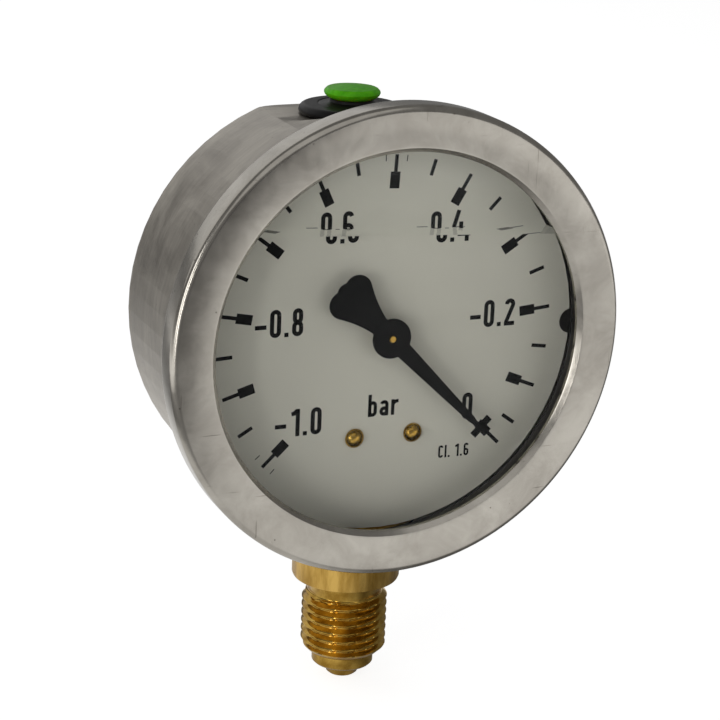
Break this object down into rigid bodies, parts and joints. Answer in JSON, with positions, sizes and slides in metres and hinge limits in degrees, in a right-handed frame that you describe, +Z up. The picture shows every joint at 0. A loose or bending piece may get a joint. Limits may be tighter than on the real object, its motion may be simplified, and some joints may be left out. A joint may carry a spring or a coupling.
{
  "type": "pressure gauge",
  "caption": "Liquid-filled vacuum gauge: round steel case with crimped ring, clear window, dial and pointer, threaded brass connection below and a rubber filling plug on top.",
  "frame": {"origin": "on the connection's axis, at the sealing face of the spigot at the bottom of the thread", "axes": "+Z up along the connection towards the head, -Y towards the reader, +X to the reader's right"},
  "size_m": [0.069, 0.031, 0.0925],
  "materials": {
    "satin_steel": "satin, lightly worn",
    "plain_steel": "machined",
    "clear_window": "clear acrylic, polished",
    "black_rubber": "moulded, soft sheen",
    "dial_white": "matt white",
    "pointer_black": "matt black",
    "brass": "turned",
    "tube_bronze": "drawn",
    "cap_green": "fine textured",
    "glycerine": "clear liquid"
  },
  "bodies": {
    "gauge_body": {"case": "satin_steel", "bezel_ring": "satin_steel", "window": "clear_window", "window_gasket": "black_rubber", "glycerine_fill": "glycerine", "dial": "dial_white", "dial_screw_left": "brass", "dial_screw_right": "brass", "dial_spacer_left": "brass", "dial_spacer_right": "brass", "hairspring": "tube_bronze", "hairspring_stud": "brass", "movement_front_plate": "brass", "movement_rear_plate": "brass", "pillar_left": "brass", "pillar_right": "brass", "pillar_screw_left": "brass", "pillar_screw_right": "brass", "movement_screw_left": "plain_steel", "movement_screw_right": "plain_steel", "bourdon_tube": "tube_bronze", "stem": "brass", "stem_seal": "black_rubber", "stem_retaining_ring": "plain_steel", "restrictor_screw": "brass", "filler_plug": "black_rubber"},
    "sector": {"sector_gear": "brass", "sector_arbor": "plain_steel", "link_pin_sector": "plain_steel"},
    "pointer": {"pointer": "pointer_black", "pointer_bush": "brass", "pinion_shaft": "brass", "hairspring_collet": "brass"},
    "link": {"link": "brass"},
    "tube_end": {"tube_tip": "brass", "link_pin_tube": "plain_steel"},
    "vent_cap": {"vent_cap": "cap_green"}
  },
  "joints": [
    {"name": "sector_turn", "type": "hinge", "parent": "gauge_body", "child": "sector", "pos_m": [0, -0.00535, 0.03906], "axis": [0, 1, 0], "range_deg": [0, 27], "stiffness_Nm_per_rad": 0.02},
    {"name": "pointer_turn", "type": "hinge", "parent": "gauge_body", "child": "pointer", "pos_m": [0, -0.0114, 0.056], "axis": [0, -1, 0], "range_deg": [0, 270]},
    {"name": "link_turn", "type": "hinge", "parent": "sector", "child": "link", "pos_m": [0.00163, -0.00615, 0.03225], "axis": [0, -1, 0], "range_deg": [0, 21]},
    {"name": "tube_end_turn", "type": "hinge", "parent": "gauge_body", "child": "tube_end", "pos_m": [-0.001, 0.0016, 0.0625], "axis": [0, 1, 0], "range_deg": [0, 6.3]},
    {"name": "vent_cap_pull", "type": "slide", "parent": "gauge_body", "child": "vent_cap", "axis": [0, 0, 1], "range_m": [0, 0.002]}
  ],
  "couplings": [
    {"joint": "pointer_turn", "follows": "sector_turn", "ratio": 10},
    {"joint": "link_turn", "follows": "sector_turn", "ratio": 0.7743},
    {"joint": "tube_end_turn", "follows": "sector_turn", "ratio": 0.2303}
  ]
}
